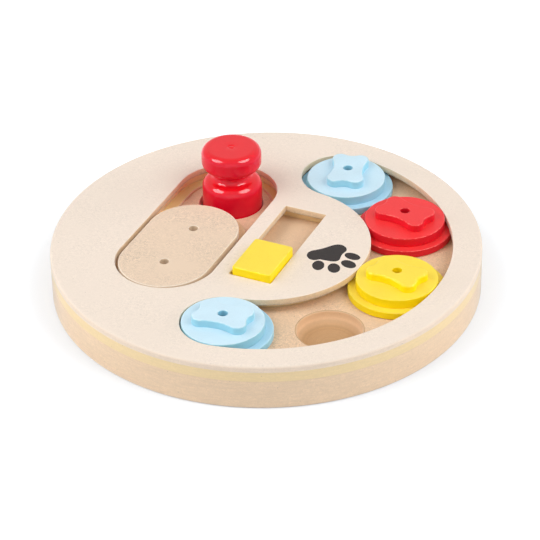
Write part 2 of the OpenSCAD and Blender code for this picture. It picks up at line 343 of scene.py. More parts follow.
def arc(x, y, r, start, end, steps):
    """Points of an arc, both ends included."""
    turns = [math.radians(start + (end - start) * i / steps) for i in range(steps + 1)]
    return [(x + r * math.cos(t), y + r * math.sin(t)) for t in turns]


def joined(arcs, steps):
    """Arcs joined by straight lines of that many steps."""
    points = []
    for now, after in zip(arcs, arcs[1:] + arcs[:1]):
        points += now
        (ax, ay), (bx, by) = now[-1], after[0]
        points += [
            (ax + (bx - ax) * i / steps, ay + (by - ay) * i / steps)
            for i in range(1, steps)
        ]
    return points


def placed(points, x, y, angle):
    """Points turned about the origin and then moved to x, y."""
    turn = math.radians(angle)
    c, s = math.cos(turn), math.sin(turn)
    return [(x + c * px - s * py, y + s * px + c * py) for px, py in points]


def circle(x, y, r, steps=CUP_STEPS):
    """A circle about x, y."""
    return lambda off: arc(x, y, r + off, 0, 360, steps)[:-1]


def obround(x, y, w, l, steps=72, straight=40):
    """A slot's outline, long along Y, with round ends."""
    half = (l - w) / 2

    def outline(off):
        r = w / 2 + off
        ends = [arc(x, y + half, r, 0, 180, steps), arc(x, y - half, r, 180, 360, steps)]
        return joined(ends, straight)

    return outline


def rectangle(x, y, w, l, corner, steps=6, straight=32, least=0.05):
    """A rectangle whose corners are round, by at least a little at any offset."""

    def outline(off):
        r = max(corner + off, least)
        dx, dy = w / 2 + off - r, l / 2 + off - r
        signs = ((1, 1), (-1, 1), (-1, -1), (1, -1))
        corners = [
            arc(x + sx * dx, y + sy * dy, r, 90 * k, 90 * k + 90, steps)
            for k, (sx, sy) in enumerate(signs)
        ]
        return joined(corners, straight)

    return outline


def track(r, w, end, steps=150, cap=40):
    """A C-shaped slot of width w round the board's middle, up to end degrees on each side."""
    end_x = r * math.cos(math.radians(end))
    end_y = r * math.sin(math.radians(end))

    def outline(off):
        half = w / 2 + off
        points = arc(0, 0, r + half, -end, end, steps)[:-1]
        points += arc(end_x, end_y, half, end, end + 180, cap)[:-1]
        points += arc(0, 0, r - half, end, -end, steps)[:-1]
        return points + arc(end_x, -end_y, half, 180 - end, 360 - end, cap)[:-1]

    return outline


def bone(x, y, angle, l=32, w=22, lobe=5, waist_dip=2.1, end_dip=1.5):
    """A bone: four round lobes, and hollow arcs tangent to them at its waist and its ends."""
    lobe_steps, waist_steps, end_steps = 22, 20, 10
    lx, ly = l / 2 - lobe, w / 2 - lobe
    waist = (lx**2 - 2 * lobe * waist_dip + waist_dip**2) / (2 * waist_dip)
    end = (ly**2 - 2 * lobe * end_dip + end_dip**2) / (2 * end_dip)
    wy, ex = w / 2 - waist_dip + waist, l / 2 - end_dip + end
    to_end = math.degrees(math.atan2(-ly, ex - lx))
    to_waist = math.degrees(math.atan2(wy - ly, -lx))

    def outline(off):
        r = lobe + off
        first = arc(lx, ly, r, to_end, to_waist, lobe_steps)[:-1]
        top = arc(0, wy, waist - off, to_waist - 180, -to_waist, waist_steps)[:-1]
        second = [(-px, py) for px, py in arc(lx, ly, r, to_waist, to_end, lobe_steps)[:-1]]
        left = arc(-ex, 0, end - off, -to_end, to_end, end_steps)[:-1]
        half = first + top + second + left
        return placed(half + [(-px, -py) for px, py in half], x, y, angle)

    return outline


def blob(points, steps=6):
    """A closed smooth curve through some points. It takes no offset."""

    def between(a, b, c, d, t):
        """A point of the curve from b to c, with a and d on either side."""
        linear_part = 2 * b + (c - a) * t
        square_part = (2 * a - 5 * b + 4 * c - d) * t * t
        cube_part = (3 * b - a - 3 * c + d) * t**3
        return 0.5 * (linear_part + square_part + cube_part)

    made = []
    for i in range(len(points)):
        around = [Vector(points[(i + k) % len(points)]) for k in (-1, 0, 1, 2)]
        made += [tuple(between(*around, j / steps)) for j in range(steps)]
    return lambda _: made


def ellipse(x, y, long, short, angle, steps=40):
    """An ellipse whose long axis is turned by an angle."""

    def outline(off):
        unit = arc(0, 0, 1, 0, 360, steps)[:-1]
        points = [(px * (long / 2 + off), py * (short / 2 + off)) for px, py in unit]
        return placed(points, x, y, angle)

    return outline


# ---- forms: walls between outlines, and flat caps ----


def edge_wear_and_shade(wear, t):
    """Wear at turn t round an edge: rubbed in its middle, or painted shade all along."""
    return wear * math.sin(2 * t) if wear > 0 else wear


def quarter(r, steps):
    """(distance in, distance up, turn) round a foot's quarter circle, or once where it is sharp."""
    for i in range(steps + 1 if r else 1):
        t = math.pi / 2 * i / steps
        yield r * (1 - math.sin(t)), r * (1 - math.cos(t)), t


def wall_rings(z, edges, sign, steps=4, wear=(1.0, 1.0)):
    """Rings (offset, height, wear) of a wall between two heights, with rounded edges.

    edges and wear are for the lower and the upper edge, and a negative wear is
    painted shade. sign is -1 on an outer face and 1 on an opening's.
    """
    (z0, z1), (foot, top) = z, edges
    rings = []
    if foot:
        rings.append((sign * (foot + HOLD), z0, 0))
    for off, rise, t in quarter(foot, steps):
        rings.append((sign * off, z0 + rise, edge_wear_and_shade(wear[0], t)))
    middle = (z0 + foot + z1 - top) / 2
    reach = (z1 - top - z0 - foot) / 2 * WALL_MIDDLE
    # painted shade carried part way up the wall from its foot
    rings.append((0, middle - reach, FOOT_SHADE_UP * min(wear[0], 0)))
    rings.append((0, middle + reach, 0))
    for drop, off, t in quarter(top, steps):
        rings.append((sign * off, z1 - drop, edge_wear_and_shade(wear[1], t)))
    if top:
        rings.append((sign * (top + HOLD), z1, 0))
    return rings


def cup_rings(r, cove, floor, mouth, steps=7, lip_steps=3, lip_wear=0.3):
    """Rings of a bowl-shaped cup from its floor's middle to its mouth, as offsets from r."""
    flat = r - cove
    rings = [(CUP_MIDDLE_R - r, floor, 0), ((CUP_MIDDLE_R - flat) / 2 - cove, floor, 0)]
    rings.append((-cove - CUP_FLOOR_HOLD, floor, 0))
    for off, rise, _ in quarter(cove, steps):
        rings.append((-off, floor + rise, 0))
    for drop, off, t in quarter(BOARD_LIP_R, lip_steps):
        rings.append((off, mouth - drop, edge_wear_and_shade(lip_wear, t)))
    rings.append((BOARD_LIP_R + HOLD, mouth, 0))
    return rings


class Form:
    """A closed mesh made of walls and flat caps."""

    def __init__(self):
        self.bm = bmesh.new()
        new_layer = self.bm.verts.layers.float.new
        self.layer = {name: new_layer(name) for name in ("wear_and_shade", "turned", "ledge", "routed")}

    def wall(self, outline, rings, rough=None, turned=None, routed=False):
        """Joins the rings of an outline, and returns the edges of the first and the last.

        rough(height) gives how far a point may stray sideways and up, in mm.
        turned is the middle that a cutter turned round, and routed marks a wall
        that a router left.
        """
        loops = []
        for off, z, wear in rings:
            loop = []
            for x, y in outline(off):
                v = self.bm.verts.new((x * MM, y * MM, z * MM))
                v[self.layer["wear_and_shade"]] = wear
                v[self.layer["routed"]] = float(routed and off == 0)
                if rough:
                    sideways, up = rough(z)
                    stray = noise.noise_vector(v.co * STRAY_PER_M) * MM
                    v.co += Vector((stray.x * sideways, stray.y * sideways, stray.z * up))
                loop.append(v)
            loops.append(loop)
        if turned:
            middle = Vector(turned) * MM
            for v in (v for loop in loops[:-1] for v in loop):
                v[self.layer["turned"]] = (v.co.xy - middle).length / MM + 1
        for low, high in zip(loops, loops[1:]):
            for i, v in enumerate(low):
                self.bm.faces.new((low[i - 1], v, high[i], high[i - 1])).smooth = True
        return [self.rim(loop) for loop in (loops[0], loops[-1])]

    def rim(self, loop):
        """The edges round a loop of points."""
        return [self.bm.edges.get((loop[i - 1], v)) for i, v in enumerate(loop)]

    def cap(self, *rims):
        """Fills the flat area between some rims."""
        edges = [edge for rim in rims for edge in rim]
        made = bmesh.ops.triangle_fill(self.bm, use_beauty=True, use_dissolve=False, edges=edges)
        for part in made["geom"]:
            if isinstance(part, bmesh.types.BMFace):
                part.smooth = False

    def done(self, name, material, body, slot, replaces=()):
        """Makes the object, and puts it on its body in place of its CAD node."""
        bmesh.ops.recalc_face_normals(self.bm, faces=self.bm.faces[:])
        mesh = bpy.data.meshes.new(name)
        self.bm.to_mesh(mesh)
        self.bm.free()
        piece = bpy.data.objects.new(name, mesh)
        bpy.context.scene.collection.objects.link(piece)
        mesh.materials.append(material)
        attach(piece, body)
        if replaces:
            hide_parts(*replaces)


def plate(
    outer, holes, z, edges, hole_edges=(0.0, 0.0), rough=None, wear=(1, 1), hole_wear_and_shade=(0, 1)
):
    """A flat plate with through holes, from one height to another.

    The edges' roundings and the wear are for the lower and the upper edge, and a
    negative wear is painted shade.
    """
    form = Form()
    low, high = form.wall(outer, wall_rings(z, edges, -1, wear=wear))
    lows, highs = [low], [high]
    for hole in holes:
        rings = wall_rings(z, hole_edges, 1, wear=hole_wear_and_shade)
        low, high = form.wall(hole, rings, rough, routed=True)
        lows.append(low)
        highs.append(high)
    form.cap(*lows)
    form.cap(*highs)
    return form


# ---- materials ----


def linear(colour):
    """A colour of 0 to 255 as the shader takes it."""
    made = []
    for c in colour:
        c /= 255
        made.append(c / 12.92 if c <= 0.04045 else ((c + 0.055) / 1.055) ** 2.4)
    return (*made, 1)


def shade(colour, factor):
    """A colour made darker or paler."""
    return tuple(c * factor for c in colour)


class Nodes:
    """The node tree of a material or of the world, with short calls for its nodes."""

    def __init__(self, name, world=None):
        self.owner = world or bpy.data.materials.new(name)
        self.owner.use_nodes = True
        self.tree = self.owner.node_tree
        self.tree.nodes.clear()
        self.output = self.node("ShaderNodeOutputWorld" if world else "ShaderNodeOutputMaterial")
        self.at = self.node("ShaderNodeTexCoord")

    def feed(self, socket, value):
        """Links a socket to another, or gives it a value."""
        if isinstance(value, bpy.types.NodeSocket):
            self.tree.links.new(value, socket)
        else:
            socket.default_value = value

    def node(self, kind, inputs=(), **values):
        """A new node, with what its inputs take and its other settings."""
        made = self.tree.nodes.new(kind)
        for key, value in values.items():
            setattr(made, key, value)
        for key, value in dict(inputs).items():
            self.feed(made.inputs[key], value)
        return made

    def stretched(self, scale):
        """The object's coordinates, scaled along each axis."""
        mapping = {"Vector": self.at.outputs["Object"], "Scale": scale}
        return self.node("ShaderNodeMapping", mapping).outputs[0]

    def noise(self, scale, detail, roughness, distortion=0.0, vector=None):
        inputs = {
            "Vector": vector or self.at.outputs["Object"],
            "Scale": scale,
            "Detail": detail,
            "Roughness": roughness,
            "Distortion": distortion,
        }
        return self.node("ShaderNodeTexNoise", inputs).outputs["Fac"]

    def ramp(self, value, low, high, to_low=0.0, to_high=1.0):
        inputs = {
            "Value": value,
            "From Min": low,
            "From Max": high,
            "To Min": to_low,
            "To Max": to_high,
        }
        return self.node("ShaderNodeMapRange", inputs, clamp=True).outputs[0]

    def mix(self, factor, a, b):
        made = self.node("ShaderNodeMix", data_type="RGBA", clamp_factor=True)
        for index, value in ((0, factor), (6, a), (7, b)):
            self.feed(made.inputs[index], value)
        return made.outputs[2]

    def tinted(self, value, low, high, colour, dark, pale=1.0):
        """A colour's dark shade where value is low, and its pale one where it is high."""
        dark, pale = linear(shade(colour, dark)), linear(shade(colour, pale))
        return self.mix(self.ramp(value, low, high), dark, pale)

    def covered(self, factor, colour, cover, share=1.0):
        """A colour under a shade of the covering one, as far as factor says."""
        return self.mix(factor, colour, linear(shade(cover, share)))

    def math(self, operation, a, b=0.0):
        return self.node("ShaderNodeMath", {0: a, 1: b}, operation=operation).outputs[0]

    def attribute(self, name):
        return self.node("ShaderNodeAttribute", attribute_name=name).outputs["Fac"]

    def level(self):
        """1 on level faces and 0 on walls."""
        split = self.node("ShaderNodeSeparateXYZ", {"Vector": self.at.outputs["Normal"]})
        return self.ramp(self.math("ABSOLUTE", split.outputs[2]), 0.35, 0.95)

    def bump(self, height, distance, strength):
        inputs = {"Height": height, "Distance": distance, "Strength": strength}
        return self.node("ShaderNodeBump", inputs).outputs[0]

    def finish(self, colour, roughness, normal, **values):
        """Ends a material in a shader, and returns it. values are the shader's other inputs."""
        inputs = {"Base Color": colour, "Roughness": roughness, "Normal": normal}
        inputs.update({key.replace("_", " "): value for key, value in values.items()})
        shader = self.node("ShaderNodeBsdfPrincipled", inputs)
        self.tree.links.new(shader.outputs[0], self.output.inputs["Surface"])
        return self.owner


def cutter_rings(n, grain, colour):
    """Faint rings that a turning cutter left in a cup."""
    radius = n.math("MULTIPLY", n.attribute("turned"), CUTTER_RINGS)
    inputs = {"W": radius, "Scale": 1.0, "Detail": 3.0}
    bands = n.node("ShaderNodeTexNoise", inputs, noise_dimensions="1D").outputs["Fac"]
    rings = n.tinted(bands, 0.35, 0.65, colour, 0.97, 1.01)
    return n.covered(n.ramp(grain, 0.36, 0.64, 0.0, 0.6), rings, colour, 0.93)


def flecked(n, colour, board, strength):
    """A colour with rare flecks in a dark shade of the board's own."""
    inputs = {"Vector": n.at.outputs["Object"], "Scale": FLECKS_PER_M, "Randomness": 1.0}
    distance = n.node("ShaderNodeTexVoronoi", inputs).outputs["Distance"]
    rare = n.ramp(n.noise(*FLECK_AREAS), 0.6, 0.66)
    dark = n.math("MULTIPLY", n.ramp(distance, 0.16, 0.05), rare)
    return n.covered(n.math("MULTIPLY", dark, strength), colour, board, 0.6)


def rubbed_and_shaded_edges(n, colour, fibres, board, rubbed_colour):
    """A colour with painted shade where wear is negative, and rubbed pale where it is positive."""
    wear_and_shade = n.attribute("wear_and_shade")
    # painted shade where wear is negative, broken up by the fibres
    shaded_foot = n.math("MULTIPLY", n.ramp(wear_and_shade, 0.0, -1.0), n.ramp(fibres, 0.3, 0.6, 0.3, 0.9))
    colour = n.covered(shaded_foot, colour, board, 0.62)
    rubbed = n.math("MULTIPLY", wear_and_shade, n.ramp(fibres, 0.25, 0.7, 0.25, 1.0))
    return n.covered(n.math("MULTIPLY", rubbed, 0.75), colour, rubbed_colour)


def fibreboard(
    name, face, edge, wear, speckle, mottle, streaks, flecks=0.5, cups=False, routed=None
):
    """Bare sanded fibreboard: pale speckled faces, layered edges, rubbed corners and
    painted shade where wear is negative.

    wear is the colour of a rubbed edge. speckle, mottle, streaks and flecks say
    how strong each is. cups adds the cutter's marks, painted shade on the cups'
    floors, painted light on their walls and the pocket's ledge, and routed is the
    colour of the walls that a router left.
    """
    n = Nodes(name)
    grain = n.noise(*GRAIN)
    fibres = n.noise(*FIBRES)
    clouds = n.noise(*CLOUDS)
    lines = n.noise(1, 4, 0.7, vector=n.stretched(EDGE_LINES_STRETCH))
    on_face = n.tinted(grain, 0.36, 0.64, face, 1 - speckle, 1 + speckle * 0.5)
    on_face = n.covered(n.ramp(fibres, 0.56, 0.68, 0.0, 0.5), on_face, face, 1 - speckle * 2)
    on_face = n.covered(n.ramp(clouds, 0.35, 0.7), on_face, face, 1 - mottle)
    on_edge = n.tinted(lines, 0.3, 0.7, edge, 1 - streaks, 1 + streaks * 0.6)
    on_edge = n.covered(n.ramp(grain, 0.35, 0.65, 0.0, 0.8), on_edge, edge, 1 - streaks * 1.6)
    if routed:
        on_wall = n.tinted(grain, 0.35, 0.65, routed, 1 - streaks * 1.6)
        on_edge = n.mix(n.attribute("routed"), on_edge, on_wall)
    if cups:
        inside = n.math("GREATER_THAN", n.attribute("turned"), 0.5)
        # the cups' floors take the copy with painted shade, and their walls the one with painted
        # light
        on_face = n.mix(inside, on_face, cutter_rings(n, grain, CUP_FLOOR_CUT_SHADED))
        on_edge = n.mix(inside, on_edge, cutter_rings(n, grain, CUP_WALL_CUT_LIT))
        on_face = n.covered(n.attribute("ledge"), on_face, LEDGE)
    colour = n.mix(n.level(), on_edge, on_face)
    colour = flecked(n, colour, edge, flecks)
    colour = rubbed_and_shaded_edges(n, colour, fibres, edge, wear)
    height = n.math("ADD", n.math("MULTIPLY", grain, 0.5), n.math("MULTIPLY", fibres, 0.5))
    return n.finish(
        colour,
        n.ramp(clouds, 0.3, 0.7, 0.78, 0.88),
        n.bump(height, distance=0.00015, strength=0.4),
        Specular_IOR_Level=0.2,
        Sheen_Weight=FIBRE_SHEEN,
        Sheen_Roughness=FIBRE_SHEEN_BLUR,
    )


def paint(name, colours, rub_colour, rub=0.5, roughness=0.42, coat=0.0, pore=0.1):
    """Paint over fibreboard or turned wood, thin and rubbed on the edges, with a painted reflection
    of the white room on its level faces.
    """
    n = Nodes(name)
    clouds = n.noise(*PAINT_CLOUDS)
    pores = n.noise(*PAINT_PORES)
    ripple = n.noise(*PAINT_RIPPLE)
    # level faces take the paler colour, a painted reflection of the white room; walls take the
    # other
    on_face, on_wall = (n.tinted(clouds, 0.3, 0.7, c, 0.985, 1.01) for c in colours)
    colour = n.mix(n.level(), on_wall, on_face)
    colour = n.covered(n.ramp(pores, 0.55, 0.75, 0.0, pore), colour, colours[1], 0.8)
    thin = n.math("MULTIPLY", n.attribute("wear_and_shade"), n.ramp(n.noise(*PAINT_RUB), 0.42, 0.68))
    colour = n.covered(n.math("MULTIPLY", thin, rub), colour, rub_colour)
    height = n.math("ADD", n.math("MULTIPLY", pores, 0.35), n.math("MULTIPLY", ripple, 0.65))
    return n.finish(
        colour,
        n.ramp(pores, 0.3, 0.7, roughness - 0.04, roughness + 0.05),
        n.bump(height, distance=0.00012, strength=0.25),
        Specular_IOR_Level=0.05 if coat else 0.3,
        Coat_Weight=coat,
        Coat_Roughness=0.05,
        Coat_IOR=1.5,
    )


def ink(name):
    """Matt ink, soaked a little into the fibres."""
    n = Nodes(name)
    fine = n.noise(*INK_FINE)
    hairs = n.noise(1, 3, 0.6, vector=n.stretched(INK_HAIRS_STRETCH))
    colour = n.tinted(fine, 0.35, 0.7, INK, 0.88, 1.18)
    colour = n.covered(n.ramp(hairs, 0.66, 0.8, 0.0, 0.55), colour, INK, 1.9)
    return n.finish(
        colour,
        n.ramp(fine, 0.3, 0.7, 0.62, 0.78),
        n.bump(fine, distance=0.00008, strength=0.4),
        Specular_IOR_Level=0.25,
    )


# ---- the boards ----


def sunk_cup(form, x, y, d, cove, mouth, steps=CUP_STEPS):
    """Adds a coved cup to a form, and returns the edges of its mouth."""
    rings = cup_rings(d / 2, cove, mouth - CUP_DEPTH, mouth)
    floor, rim = form.wall(circle(x, y, d / 2, steps), rings, turned=(x, y))
    form.cap(floor)
    return rim


def make_base(material):
    """The base board, with its cups, its tray and the peg's hole."""
    form = Form()
    rings = wall_rings((0, BASE_TOP), (RIM_R, SEAM_R), -1, steps=5, wear=(0.3, 0))
    bottom, top = form.wall(circle(0, 0, BOARD_D / 2, RIM_STEPS), rings)
    mouths = [top]
    for i in range(-CUPS_EACH_SIDE, CUPS_EACH_SIDE + 1):
        turn = math.radians(CUP_PITCH * i)
        x, y = TRACK_R * math.cos(turn), TRACK_R * math.sin(turn)
        mouths.append(sunk_cup(form, x, y, CUP_D, CUP_COVE, BASE_TOP))
    block_cup = (BLOCK_CUP_D, BLOCK_CUP_COVE, BASE_TOP, BLOCK_CUP_STEPS)
    mouths.append(sunk_cup(form, SLOT_X, Extent("slider_block").y, *block_cup))
    tray_rings = wall_rings((TRAY_FLOOR, BASE_TOP), (0.0, TRAY_LIP_R), 1, wear=(0, 0))
    tray_foot, tray_mouth = form.wall(obround(*TRAY), tray_rings)
    # the ledge round the tray, up to the spacer board's wall and a little under it
    ledge_rings = [(0.0, BASE_TOP, 0), (LEDGE_HOLD, BASE_TOP, 0)]
    ledge_rim, under_spacer = form.wall(obround(*wider(POCKET, POCKET_LIP)), ledge_rings)
    for edge in [*tray_mouth, *ledge_rim]:
        for v in edge.verts:
            v[form.layer["ledge"]] = 1
    form.cap(tray_mouth, ledge_rim)
    mouths.append(under_spacer)
    # the peg's hole and the lid's cup in the tray's floor
    hole_z = (TRAY_FLOOR - PEG_HOLE_DEPTH, TRAY_FLOOR)
    hole_rings = wall_rings(hole_z, (0.0, PEG_HOLE_LIP_R), 1, wear=(0, 0.5))
    hole_foot, hole_mouth = form.wall(circle(POCKET_X, PEG_HOLE_Y, PEG_HOLE_D / 2), hole_rings)
    form.cap(hole_foot)
    lid_cup = sunk_cup(form, POCKET_X, LID_CUP_Y, CUP_D, CUP_COVE, TRAY_FLOOR)
    form.cap(tray_foot, hole_mouth, lid_cup)
    form.cap(bottom)
    form.cap(*mouths)
    form.done("base_board_sanded", material, "board", "board_base", ("base_board",))


def openings(lip_share):
    """The track, the pocket and the slot, grown by a share of their lips."""
    return [
        track(TRACK_R, TRACK_W + 2 * TRACK_LIP * lip_share, TRACK_END),
        obround(*wider(POCKET, POCKET_LIP * lip_share)),
        rectangle(*wider(SLOT, SLOT_LIP * lip_share), SLOT_CORNER_R + lip_share),
    ]


def make_spacer(material):
    """The spacer board, whose openings are wider than the top sheet's by their lips."""
    outer = circle(0, 0, BOARD_D / 2, RIM_STEPS)
    form = plate(outer, openings(1), (BASE_TOP, SPACER_TOP), (SEAM_R, SEAM_R), wear=(0, 0))
    form.done("spacer_board_sanded", material, "board", "board_spacer", ("spacer_board",))


def make_top(material):
    """The top sheet, with its routed openings."""

    def ragged(z):
        """Fibres hang from the lower edge only."""
        return FIBRE * max(0.0, 1 - (z - SPACER_TOP) / FIBRE_REACH), 0.0

    form = plate(
        circle(0, 0, BOARD_D / 2, RIM_STEPS),
        openings(0),
        (SPACER_TOP, BOARD_TOP),
        (SEAM_R, RIM_R),
        (OPENING_FOOT_R, OPENING_TOP_R),
        ragged,
        wear=(0, 0),
        # painted shade at the foot of the openings, over the undercut, and rubbed pale at their top
        hole_wear_and_shade=(-1, 0.8),
    )
    form.done("top_board_sanded", material, "board", "board_top", ("top_board",))


# ---- lid, slider and peg ----


def make_lid(face, runner):
    """The lid's face plate, and the wider runner under it."""
    cover, under = Extent("lid_cover"), Extent("lid_runner")
    holes = [
        circle(cover.x, cover.y + off, SCENT_HOLE_D / 2, LID_HOLE_STEPS)
        for off in (LID_HOLE_PITCH / 2, -LID_HOLE_PITCH / 2)
    ]
    form = plate(obround(*cover.shape), holes, cover.z, (0.0, LID_R), (0.0, HOLE_R))
    form.done("lid_cover_sanded", face, "lid", "lid_face", ("lid_cover",))
    edges = (RUNNER_R, RUNNER_R)
    form = plate(obround(*under.shape), holes, under.z, edges, (HOLE_FOOT_R, 0.0))
    form.done("lid_runner_sanded", runner, "lid", "runner", ("lid_runner",))


def make_slider(face, runner):
    """The yellow block, and the wider runner under it."""
    block, under = Extent("slider_block"), Extent("slider_runner")
    form = plate(rectangle(*block.shape, BLOCK_CORNER_R), [], block.z, (0.0, BLOCK_EDGE_R))
    form.done("slider_block_painted", face, "slider", "yellow_paint", ("slider_block",))
    outline = rectangle(*under.shape, BLOCK_RUNNER_CORNER_R)
    form = plate(outline, [], under.z, (RUNNER_R, RUNNER_R))
    form.done("slider_runner_sanded", runner, "slider", "runner", ("slider_runner",))


def peg_profile(r, height):
    """(radius, height) up the turned peg: foot, shoulder, hollow neck, head and its mark."""
    foot_steps, body_steps, shoulder_steps = 6, 6, 16
    groove_steps, chin_steps, crown_steps = 16, 12, 14
    foot_hold, head_hold, crown_hold = 0.3, 1.5, 0.4
    body = height - PEG_HEAD_H - PEG_NECK_H
    shoulder = Vector((r - PEG_SHOULDER_R, body - PEG_SHOULDER_R))
    chin = Vector((r - PEG_HEAD_R, body + PEG_NECK_H + PEG_HEAD_R))
    # the groove's arc is tangent to the rounding of the shoulder and of the chin
    neck_r = PEG_NECK_D / 2
    a = (neck_r - shoulder.x) ** 2 - PEG_SHOULDER_R**2
    b = (neck_r - chin.x) ** 2 - PEG_HEAD_R**2
    groove_z = (b - a + chin.y**2 - shoulder.y**2) / (2 * (chin.y - shoulder.y))
    groove_r = (a + (groove_z - shoulder.y) ** 2) / (2 * (r - neck_r))
    groove = Vector((neck_r + groove_r, groove_z))

    def bearing(centre):
        return math.degrees(math.atan2(groove.y - centre.y, groove.x - centre.x))

    up, down = bearing(shoulder), bearing(chin)
    straight = body - PEG_SHOULDER_R - PEG_FOOT_R
    points = [(0.0, 0.0), (r - PEG_FOOT_R - foot_hold, 0.0)]
    points += arc(r - PEG_FOOT_R, PEG_FOOT_R, PEG_FOOT_R, -90, 0, foot_steps)
    points += [(r, PEG_FOOT_R + straight * k / body_steps) for k in range(1, body_steps)]
    points += arc(*shoulder, PEG_SHOULDER_R, 0, up, shoulder_steps)
    points += arc(*groove, groove_r, up + 180, down + 180, groove_steps)[1:-1]
    points += arc(*chin, PEG_HEAD_R, down, 0, chin_steps)
    points += [(r, chin.y + head_hold), (r, height - PEG_HEAD_R - head_hold)]
    points += arc(r - PEG_HEAD_R, height - PEG_HEAD_R, PEG_HEAD_R, 0, 90, crown_steps)
    points += [(r - PEG_HEAD_R - crown_hold, height)]
    return points + [(mark_r, height - depth) for mark_r, depth in LATHE_MARK]


def make_peg(material):
    """The turned peg: its profile's points, each carried round as a ring."""
    peg = Extent("peg")
    foot, head = peg.z
    form = Form()
    rings = []
    for r, z in peg_profile(peg.w / 2, head - foot):
        ring = []
        for i in range(PEG_STEPS if r else 1):
            t = 2 * math.pi * i / PEG_STEPS
            at = Vector((peg.x + r * math.cos(t), peg.y + r * math.sin(t), foot + z))
            ring.append(form.bm.verts.new(at * MM))
        rings.append(ring)
    for a, b in zip(rings, rings[1:]):
        for i in range(PEG_STEPS):
            j = (i + 1) % PEG_STEPS
            corners = [a[i % len(a)], a[j % len(a)], b[j % len(b)], b[i % len(b)]]
            form.bm.faces.new(list(dict.fromkeys(corners))).smooth = True
    form.done("peg_turned", material, "peg", "red_paint", ("peg",))


# ---- track discs and paw print ----


def make_disc(name, material, flange_material):
    """A flange on its travelling body, and a tier and a bone on the body that turns."""
    disc, slot = f"{name}_disc", DISC_SLOTS[name]
    flange, tier, knob = (Extent(f"{disc}_{part}") for part in ("flange", "tier", "bone"))
    x, y = flange.x, flange.y
    bone_y = y + BONE_OFF[name]
    hole = circle(x, bone_y, SCENT_HOLE_D / 2, DISC_HOLE_STEPS)
    outline = circle(x, y, flange.w / 2, DISC_STEPS)
    form = plate(outline, [hole], flange.z, (DISC_R, DISC_R), (HOLE_FOOT_R, 0.0))
    form.done(f"{name}_flange_painted", flange_material, disc, slot, (f"{disc}_flange",))
    outline = circle(x, y, tier.w / 2, DISC_STEPS)
    form = plate(outline, [hole], tier.z, (0.0, DISC_R))
    form.done(f"{name}_tier_painted", material, f"{disc}_top", slot, (f"{disc}_tier",))
    outline = bone(x, bone_y, BONE_ANGLES[name])
    edges = (BONE_FOOT_R[name], BONE_R[name])
    form = plate(outline, [hole], knob.z, edges, (0.0, HOLE_R), wear=(0, 1))
    form.done(f"{name}_bone_painted", material, f"{disc}_top", slot, (f"{disc}_bone",))


def make_paw(material):
    """A generic paw print in ink, with slightly uneven edges."""
    form = Form()
    rings = [(0, BOARD_TOP + INK_LIFT, 0), (0, BOARD_TOP + INK_T, 0)]
    for outline in [blob(PAW_PAD), *(ellipse(*toe) for toe in PAW_TOES)]:
        low, high = form.wall(outline, rings, lambda _: (INK_STRAY, 0.0))
        form.cap(low)
        form.cap(high)
    form.done("paw_print_ink", material, "board", "board_top")


# ---- light, floor and camera ----


def camera_axes(roll=0.0):
    """The camera's right, up and back, rolled about its line of sight."""
    turn = Matrix.Rotation(math.radians(CAMERA_AZIMUTH), 3, "Z")
    e, r = math.radians(CAMERA_ELEVATION), math.radians(roll)
    right = turn @ Vector((1, 0, 0))
    up = turn @ Vector((0, math.sin(e), math.cos(e)))
    back = turn @ Vector((0, -math.cos(e), math.sin(e)))
    return right * math.cos(r) + up * math.sin(r), up * math.cos(r) - right * math.sin(r), back


def make_camera():
    """The camera that sees the object as the photograph does."""
    data = bpy.data.cameras.new("camera")
    data.sensor_width = CAMERA_SENSOR
    data.lens = CAMERA_LENS
    data.clip_start, data.clip_end = CAMERA_CLIP
    camera = bpy.data.objects.new("camera", data)
    bpy.context.scene.collection.objects.link(camera)
    right, up, back = camera_axes()
    at = right * CAMERA_RIGHT + up * CAMERA_UP + back * CAMERA_DISTANCE
    axes = Matrix(camera_axes(CAMERA_ROLL)).transposed()
    camera.matrix_world = Matrix.Translation(at) @ axes.to_4x4()
    bpy.context.scene.camera = camera


def towards(direction):
    """A direction given as right, away and up in the picture, in the frame's axes."""
    x, y, z = direction
    right, _, back = camera_axes()
    away = Vector((-back.x, -back.y, 0)).normalized()
    return (right * x + away * y + Vector((0, 0, z))).normalized()


def make_lamp(name, direction, distance, size, radiance, in_gloss):
    """A rectangular lamp that faces the object's middle, placed by its direction from there."""
    lamp = bpy.data.lights.new(name, "AREA")
    lamp.shape = "RECTANGLE"
    lamp.size, lamp.size_y = size
    lamp.energy = radiance * math.pi * size[0] * size[1]
    holder = bpy.data.objects.new(name, lamp)
    bpy.context.scene.collection.objects.link(holder)
    away = towards(direction)
    holder.location = Vector((0, 0, LIT_HEIGHT)) + away * distance
    holder.rotation_mode = "QUATERNION"
    holder.rotation_quaternion = away.to_track_quat("Z", "Y")
    holder.visible_camera = False
    holder.visible_glossy = in_gloss


def make_light():
    """A soft box on each side above, a low fill on each side and one in front."""
    for side, direction in SOFT_BOXES.items():
        make_lamp(f"soft_box_{side}", direction, BOX_DISTANCE, BOX_SIZE, BOX_LIGHT, False)
    for side, direction in SIDE_FILLS.items():
        make_lamp(f"side_fill_{side}", direction, SIDE_DISTANCE, SIDE_SIZE, SIDE_LIGHT, False)
    make_lamp("front_fill", FRONT_FILL, FRONT_DISTANCE, FRONT_SIZE, FRONT_LIGHT, True)


